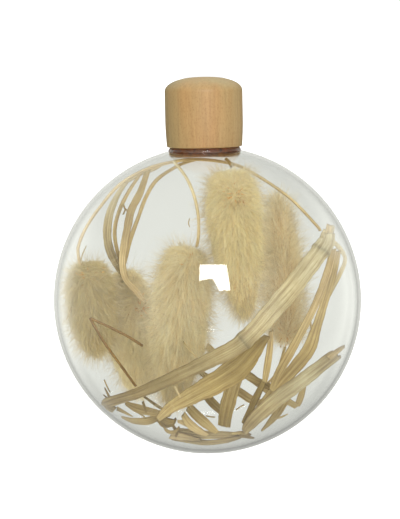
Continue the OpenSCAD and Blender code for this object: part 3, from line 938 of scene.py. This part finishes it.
# The routes below are in millimetres from the ball's centre: x, y, z and width.
# A strip is in the slot leaf unless it says straw.
STRIPS = {
    # the long straw is paler at its upper right end and darker towards its lower left end: partly its own
    # colour, partly painted shade where that end lies deeper and away from the light
    "straw_long": dict(
        slot="straw", thick=1.9, ribs=2, rib=0.05, knots=(0.07, 0.47), twist=25,
        tint=((214, 207, 171), (208, 197, 155), (180, 166, 122), (152, 136, 91), DULL), route=[
            (31.2, -6.5, 16.6, 3.4), (30, -9, 14, 4.6), (24.5, -18, 8, 4.8), (17.5, -25, 0.5, 5),
            (10.5, -28, -6.5, 4.5), (6, -28.5, -10, 4.2), (-1, -27, -13.5, 3.9),
            (-10, -23, -18, 3.4), (-17.5, -18.5, -21.5, 2.9), (-23.5, -12.5, -24, 2.6),
            (-26.6, -7.5, -25.4, 2.7)]),
    "straw_slim": dict(
        slot="straw", thick=0.8, tint=(STRAW, GOLD), route=[
            (16.1, -14.5, -7, 1.2), (15.6, -14.5, -12, 1.7), (14.9, -13.7, -16.5, 1.8),
            (14.2, -13, -20.3, 1.4)]),
    "straw_lower_right": dict(
        slot="straw", thick=1.3, ribs=3, twist=-20,
        tint=(DULL, (192, 185, 150), (182, 169, 126), DULL), route=[
            
            (32.6, -8.5, -14, 2.9), (30, -11, -15.5, 3.4), (23.5, -14.5, -20, 3.7),
            (17, -15.5, -24.5, 4), (11.5, -13.5, -29.5, 3.5), (8.8, -11, -33, 2)]),
    "straw_bottom": dict(
        slot="straw", thick=1.0, tint=((193, 177, 131), (193, 177, 131), DULL), slant=-0.5, route=[
            (-9.6, -3, -33.9, 2.0), (-6.5, -4, -34.3, 2.5), (-1.5, -4.5, -34.8, 2.3),
            (4, -4, -35, 1.9), (9, -3, -35.4, 1.4)]),
    "stalk_short": dict(
        thick=1.4, ribs=3, slant=0.1, tint=(GOLD, DARK), route=[
            (7.5, -11, -17, 3.4), (5.5, -9, -23.5, 3.9), (4.2, -7, -28.5, 3.7), (3.7, -5.5, -32.3, 3.2)]),
    "leaf_broad": dict(
        slot="straw", gutter=0.22, ribs=3, rib=0.05, thick=0.8, tint=(DARK, GOLD), twist=30, route=[
            (15, -19.5, -7.8, 1.6), (11.5, -20.5, -11.6, 4.2), (7.5, -21, -15.5, 6.2),
            (1.5, -20, -19.5, 5.6), (-5, -18, -23, 4.4), (-10, -15.5, -26, 3.1),
            (-13.2, -12.5, -29.2, 1.6)]),
    "leaf_curved": dict(
        tint=(STRAW, GOLD), twist=30, route=[
            (32.8, -3, 12.8, 1.7), (31, -5, 6.5, 2.1), (27.6, -7, -1.5, 1.9), (24, -8, -8, 2.1),
            (20.6, -8.5, -14, 2.3), (17.6, -8.2, -19.3, 2.1), (16, -8, -23.3, 1.7)]),
    "leaf_inner": dict(
        tint=(GOLD, GOLD), gutter=0.2, route=[
            (34, -2.5, 12.3, 1.6), (32.4, -4, 6, 2.1), (30, -6, -1, 2.1), (28, -7, -7, 2.5),
            (26, -7, -12.5, 3.4), (22.5, -7, -17, 3.3), (18, -6.5, -22, 3.0), (12.2, -5.5, -29.3, 2.5),
            (8.8, -4.5, -33.2, 1.5)]),
    "leaf_outer": dict(
        thick=0.5, tint=(PALE, GOLD), route=[
            (32.5, -1.5, 15, 1), (34.5, -1.5, 13, 1.2), (36, -1, 10, 1), (34.5, -0.5, 6, 1.2),
            (32, 0, 1.5, 1.3), (29.5, 1, -3.5, 1), (26.5, 1, -10, 1), (24.5, 1, -16, 0.8)]),
    "leaf_tip": dict(
        tint=(GOLD, DARK), twist=60, route=[
            (22, -2, -23.5, 1.3), (19.5, -1, -27, 2.3), (17, 0, -31, 2.1), (13.5, 1, -35, 0.7)]),
    "leaf_crossing": dict(
        thick=0.5, tint=(DARK, GOLD), route=[
            (-2.5, -6, -18, 1.3), (1.5, -4.5, -21, 2.1), (7.5, -1, -24, 2.3), (11, 1, -26.5, 2.2),
            (14.5, 2, -27.8, 1.5)]),
    "leaf_lower_left": dict(
        tint=(GOLD, DARK), twist=40, route=[
            (-23, -3, -30, 0.6), (-20, -4, -30.8, 1.6), (-16.5, -5, -30.8, 2.1),
            (-13, -5.5, -29.8, 1.7), (-10, -5.5, -29, 0.9)]),
    "leaf_left_end": dict(
        tint=(DARK, GOLD), twist=-50, gutter=0.3, route=[
            (-21.8, -8, -25.6, 1), (-18.6, -8.5, -27, 2.2), (-14.5, -9, -28, 2.0), (-10, -9, -28.8, 1.1)]),
    "leaf_lower_middle": dict(
        tint=(DARK, GOLD), gutter=0.3, route=[
            (-5.6, -9.5, -26.5, 2.2), (-3.6, -9, -28.8, 2.6), (-0.4, -9, -31.7, 2.3),
            (2, -8.5, -33.8, 1.0)]),
    "leaf_small": dict(
        tint=(DARK, GOLD), route=[(-1, -3, -24.5, 2), (1, -2, -27, 2.3), (4, -1, -30, 2)]),
    "leaf_upper_wide": dict(
        slot="straw", tint=(GOLD, DULL, STRAW, STRAW), twist=40, route=[
            (-14.8, -1, 34, 1.5), (-16.8, -3, 28.5, 1.9), (-19.2, -4, 24, 2.0), (-20.3, -5, 19.5, 2.0),
            (-21.3, -5, 14.5, 2.0), (-21.8, -4.5, 10, 1.8), (-21, -4, 6, 1.6), (-18.5, -3, 3, 1.8),
            (-16, -2.5, -0.5, 0.7)]),
    "leaf_upper_dark": dict(
        tint=(PALE, DARK), twist=60, route=[
            (-20.5, 3, 31.3, 1.6), (-23, 3, 27.5, 1.6), (-25, 2, 23, 2.1), (-25.8, 2, 18, 2.2),
            (-25.2, 1, 13.5, 2.2), (-23.2, 0.5, 9, 1.8), (-20.5, 1, 5, 1.2)]),
    "leaf_upper_thin": dict(
        slot="straw", thick=0.5, tint=(STRAW, DARK), route=[
            (-16.5, 2, 33.5, 0.7), (-20, 1, 28.5, 1), (-22.5, -1, 23.5, 1), (-23.7, -2, 18.5, 1),
            (-23.2, -2, 13.5, 1), (-22, -2, 9.5, 0.8)]),
    "leaf_upper_arched": dict(
        slot="straw", thick=0.5, tint=(STRAW, GOLD), route=[
            (-2.8, 4, 36.4, 0.8), (-7, 3, 35, 0.8), (-12.5, 2, 31.5, 1), (-15.5, 0, 27, 1),
            (-17.5, -2, 22, 1), (-19.6, -3, 16.5, 1.1), (-21, -3.2, 11, 0.8), (-21.8, -3, 7.6, 0.4)]),
    "sliver_left": dict(
        thick=0.4, tint=(DEEP, DARK), route=[
            (-17, -4, -24.5, 0.6), (-14, -5, -26.6, 0.8), (-11.2, -6, -28.3, 0.6)]),
}


def scrap(first, last, route, **look):
    """The look of a scrap, tinted from one colour to another along its route."""
    return dict(look, tint=(first, last), route=route)


# Loose ends, splinters and crumbs that belong to no CAD node.
SCRAPS = [
    # the frayed upper end of the long straw, and its lower end folded back
    scrap(PALE, STRAW, [(29.7, -9, 13.6, 2.0), (31.2, -6.7, 17, 1.8), (31.6, -6, 19.3, 1.3)]),
    scrap(STRAW, PALE, [
        (30.8, -8, 14.6, 1.3), (32.2, -5.5, 17.4, 1.1), (32.7, -4.5, 18.9, 0.8)]),
    scrap(DULL, PALE, [(29, -9.5, 13.8, 1.2), (29.6, -8, 16.4, 1.0), (30.4, -7.4, 18.2, 0.6)]),
    scrap(DULL, DARK, thick=1.6, route=[
        (-24.5, -10, -24.6, 2.6), (-26.6, -7.4, -25.6, 2.8), (-26, -5.8, -27, 2.4),
        (-24.6, -5.6, -27.7, 1.6)]),
    scrap(DEEP, DARK, [
        (-27, -7, -21.6, 0.35), (-26, -7.5, -23.6, 0.6), (-25.2, -8, -25.4, 0.5)]),
    scrap(DEEP, DARK, [
        (-27.4, -6, -23.6, 0.3), (-26, -7, -24.6, 0.5), (-24.6, -8, -25.6, 0.4)]),
    scrap(DARK, GOLD, [(-24, -6, -27.2, 1.1), (-22, -5.5, -28.4, 0.8), (-20, -5, -29.6, 0.3)]),
    scrap(DEEP, GOLD, [
        (-20, -8, -26.8, 0.9), (-18.2, -7, -28.4, 0.6), (-16.6, -6.5, -29.8, 0.4)]),
    scrap(DEEP, DARK, [
        (-17.2, -9, -25.2, 0.7), (-16.6, -9, -27, 0.6), (-16.4, -9, -28.2, 0.3)]),
    # the tangle at the lower left
    scrap(DARK, DEEP, [
        (-13.4, -8, -30.2, 0.9), (-12, -8, -31.6, 1.1), (-9.8, -8, -31.4, 1.0), (-8.7, -8, -29.8, 0.6)]),
    scrap(GOLD, DARK, [
        (-12.2, -7, -31.6, 0.5), (-11, -7.5, -33.2, 0.9), (-9.2, -7.5, -33.4, 0.9),
        (-7.9, -7, -32.2, 0.5)]),
    scrap(DEEP, DARK, thick=0.8, route=[
        (-12.8, -11, -29, 1.5), (-11, -10, -30.2, 1.9), (-9.4, -9.5, -30.4, 1.1)]),
    scrap(DEEP, DEEP, [
        (-9.6, -7, -31.8, 0.8), (-8.6, -7, -33.6, 0.9), (-8.9, -6.5, -34.8, 0.4)]),
    scrap(GOLD, STRAW, [
        (-6.9, -9, -28.6, 1.5), (-5.4, -9, -31, 2.2), (-3, -8.5, -33, 1.9), (-0.6, -8, -34.4, 1.0)]),
    scrap(STRAW, GOLD, [
        (-8.4, -8, -30.6, 0.7), (-6.4, -8, -31.2, 1.4), (-4, -7.5, -32.6, 1.0)]),
    # the lower half of the split straw at the bottom, and its broken end
    scrap(DARK, DULL, thick=0.7, slant=0.3, route=[
        (-10.1, -3, -35.5, 1.6), (-6, -4, -36.2, 1.6), (-1, -4.5, -36.9, 1.5), (4, -4.2, -36.5, 1.4),
        (8, -4, -35.6, 1.0)]),
    scrap(STRAW, DULL, thick=1.0, slant=-0.3, route=[
        (-10.3, -4.4, -34.7, 2.3), (-6.4, -5, -35.3, 1.9), (-2.4, -5.2, -36, 0.9)]),
    scrap(DARK, DEEP, [(7.6, -5, -34.6, 1.2), (9.6, -5, -35.4, 1.0), (11.4, -4.5, -36, 0.5)]),
    scrap(GOLD, DEEP, [(5.4, -6, -34.4, 0.6), (8.4, -6, -34.2, 0.9), (10.6, -5.5, -34.9, 0.5)]),
    # the slim straw below its kink, and the second prong of the lower right straw
    scrap(DARK, DEEP, thick=0.9, route=[
        (14.5, -12.6, -19.4, 1.2), (12.7, -11.6, -23, 1.8), (10.7, -10.2, -27.2, 1.7),
        (8.6, -9.5, -31.4, 1.3)]),
    scrap(STRAW, DULL, thick=0.8, route=[
        (30.4, -11.4, -14.6, 1.4), (33, -9, -13.1, 1.3), (34.9, -7.6, -12, 0.8)]),
    scrap(GOLD, DULL, thick=0.8, route=[
        (29.6, -11.4, -16.4, 1.2), (32.2, -9.4, -15.4, 1.2), (33.8, -8, -14.6, 0.8)]),
    scrap(GOLD, STRAW, [(17, 0, -31.6, 0.4), (18.8, 0, -31.2, 0.6), (20.6, 0, -30.4, 0.2)]),
    # strips that cross behind the lower right bundle
    scrap(GOLD, DARK, thick=0.5, route=[
        (8.4, -4, -19, 1.6), (13, -3, -21.4, 1.8), (17.6, -2, -23.8, 1.7)]),
    scrap(STRAW, GOLD, [(26.2, -6, -3.5, 0.5), (26.8, -6, -8, 0.5), (27.9, -6, -12.6, 0.3)]),
    # pale bits along the top left, and small curls
    scrap(PALE, PALE, [
        (-21, 2, 30.9, 1.0), (-17.6, 3, 33, 1.5), (-13.4, 4, 34.9, 1.2), (-10, 4, 35.8, 0.5)]),
    scrap(PALE, STRAW, [(-15.6, -1, 33.4, 0.9), (-13.4, 0, 34.4, 1.2), (-11.2, 0, 35.2, 0.5)]),
    scrap(GOLD, DARK, [(-22.2, -3, 24, 0.4), (-21.4, -3, 25.4, 0.5), (-20.8, -3, 24, 0.4)]),
    scrap(DARK, GOLD, [(-21.4, -3, 22.8, 0.4), (-20.6, -3, 24.2, 0.4), (-20.2, -3, 23, 0.3)]),
    scrap(DEEP, DARK, [(-2.6, -13, 11.9, 0.5), (-1.9, -13, 12.6, 0.7), (-1.2, -13, 12.1, 0.4)]),
    scrap(STRAW, STRAW, [(-4.2, -9, 21.9, 0.2), (-4.5, -9, 20.6, 0.3), (-4.2, -9, 19.6, 0.2)]),
    scrap(GOLD, PALE, [(-33.6, -3, 14.6, 0.25), (-33, -4, 12.6, 0.4), (-32.4, -5, 10.6, 0.3)]),
    scrap(GOLD, PALE, [(-31, -4, 15, 0.2), (-32, -4.6, 12.8, 0.3), (-32.6, -5, 10.4, 0.2)]),
    scrap(GOLD, DARK, [
        (-36.2, -8, -3.6, 0.3), (-35.4, -9.5, -1.8, 0.5), (-34.6, -10, 0.2, 0.2)]),
    scrap(PALE, STRAW, [
        (-9.6, -21, -18.4, 0.35), (-8.4, -23.4, -20.4, 0.5), (-7.4, -24, -22.6, 0.35)]),
    scrap(GOLD, STRAW, [
        (-6.4, -19, -8.8, 0.25), (-4.6, -19, -11.4, 0.35), (-2.6, -18.6, -13.4, 0.2)]),
]


STEMS = {
    # name: the tints and the routes of its parts, as (x, y, z)
    "stem_right_front": ((DARK, DEEP), [[(6.7, -9.6, 34.8), (6.2, -8, 35.8), (5.4, -6.4, 36.6)]]),
    "stem_right_back": ((GOLD, STRAW), [[
        (20.2, 7.3, -13.5), (19, 6, -17), (17.5, 5, -20.5), (15, 4, -23)]]),
    "stem_middle": ((STRAW, PALE), [[
        (-2.5, -12.5, 14.8), (-2, -14, 18), (-2, -14, 23), (-3, -12, 28),
        (-5, -9, 32.5), (-8, -6, 36.3)]]),
    "stem_left_front": ((STRAW, GOLD), [[
        (-32.4, -5, 9), (-33, -5, 12), (-33, -4, 15), (-31, -4, 19.5), (-27.5, -4, 24.5), (-22, -4, 30.5),
        (-15, -4, 34.3), (-7, -4, 36.3), (0, -3.5, 36.5), (8, -2.5, 35), (14.5, -2, 31.5),
        (22, -2, 26), (28.4, -1.5, 19.2), (29.6, -1.5, 17.5)]]),
    "stem_kinked": ((BROWN, BROWN), [
        [(-16.8, -16.5, -10), (-20.5, -17, -7.5), (-25.5, -17, -4.8), (-30, -16, -2.7)],
        [(-30, -16, -2.7), (-27, -17.5, -8), (-23, -17, -14), (-18.8, -14.5, -20.5)]]),
    "fibres": ((DARK, DARK), [
        [(-27, -8, -19.5), (-26.3, -7, -21.5), (-25.7, -5.5, -23)],
        [(-1, -6, -29.6), (0.2, -6, -29.9), (1.4, -6, -30)],
        [(6.8, -4, -28.5), (8, -4, -27.7), (9, -4, -27.2)]]),
}
STEM_D = {"stem_kinked": 0.68, "fibres": 0.35, "stem_right_back": 0.7}
KINKED_LEAF = [
    [(-0.5, -5.5, -11.5, 1.6), (4, -5, -15.5, 2.1), (10.5, -2, -20, 2.2),
     (16.5, 1.5, -25, 2), (20.5, 4, -27.5, 1.8), (23.2, 5, -29.3, 1.6)],
    [(23.2, 5, -29.3, 1.6), (24.2, 5.3, -26.5, 1.8), (25.2, 6, -23, 1.3)],
]


def make_filling():
    mats = {"straw": straw_material("straw", 0.12), "leaf": straw_material("leaf", 0.2)}
    for seed, (name, look) in enumerate(STRIPS.items(), 11):
        look = dict(look)
        slot = look.pop("slot", "leaf")
        strip("look_" + name, mats[slot], slot, seed, replaces=name, **look)
    for i, route in enumerate(KINKED_LEAF):
        strip("look_leaf_kinked_%d" % i, mats["leaf"], "leaf", 60 + i, route, tint=(GOLD, GOLD), thick=0.5,
              replaces="leaf_kinked")
    for i, look in enumerate(SCRAPS):
        strip("scrap_%d" % i, mats["leaf"], "leaf", 200 + i, sides=20, ribs=2, **look)
    stem = straw_material("stem", 0.05)
    for seed, (name, (tint, routes)) in enumerate(STEMS.items(), 80):
        for i, route in enumerate(routes):
            size = STEM_D.get(name, 0.8)
            strip("look_%s_%d" % (name, i), stem, "stem", seed, [(*p, size) for p in route], thick=size,
                  gutter=0, ribs=1, rib=0.03, sides=12, slant=0.2, tint=tint, replaces=name)


make_camera()
make_stage()
make_ball()
make_stopper()
make_tails()
make_filling()
